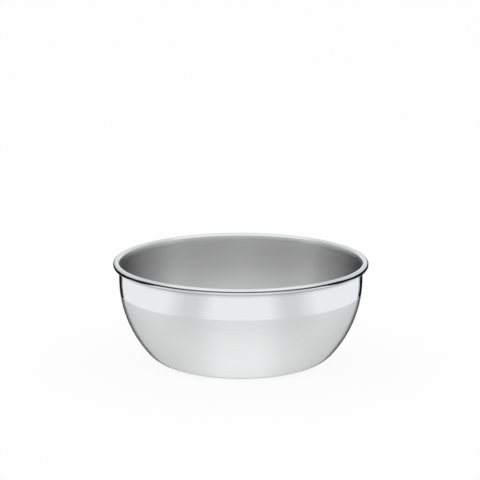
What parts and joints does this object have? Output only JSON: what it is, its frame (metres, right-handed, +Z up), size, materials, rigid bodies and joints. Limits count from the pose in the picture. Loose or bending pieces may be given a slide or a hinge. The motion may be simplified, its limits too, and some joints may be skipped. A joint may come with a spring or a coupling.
{
  "type": "shaving bowl",
  "caption": "Round lather bowl of thin stainless sheet with a rolled rim, a mirror-polished band under it, a brushed body and a flat base.",
  "frame": {"origin": "middle of the base's underside, on the bowl's axis", "axes": "+Z up along the bowl's axis, out of its mouth"},
  "size_m": [0.11, 0.11, 0.044],
  "materials": {
    "polished_steel": "mirror-polished stainless steel outside, satin inside",
    "brushed_steel": "satin stainless steel, brushed in fine lines round the axis"
  },
  "bodies": {
    "root": {"rolled_rim": "polished_steel", "polished_band": "polished_steel", "brushed_body": "brushed_steel", "base": "brushed_steel"}
  },
  "joints": []
}
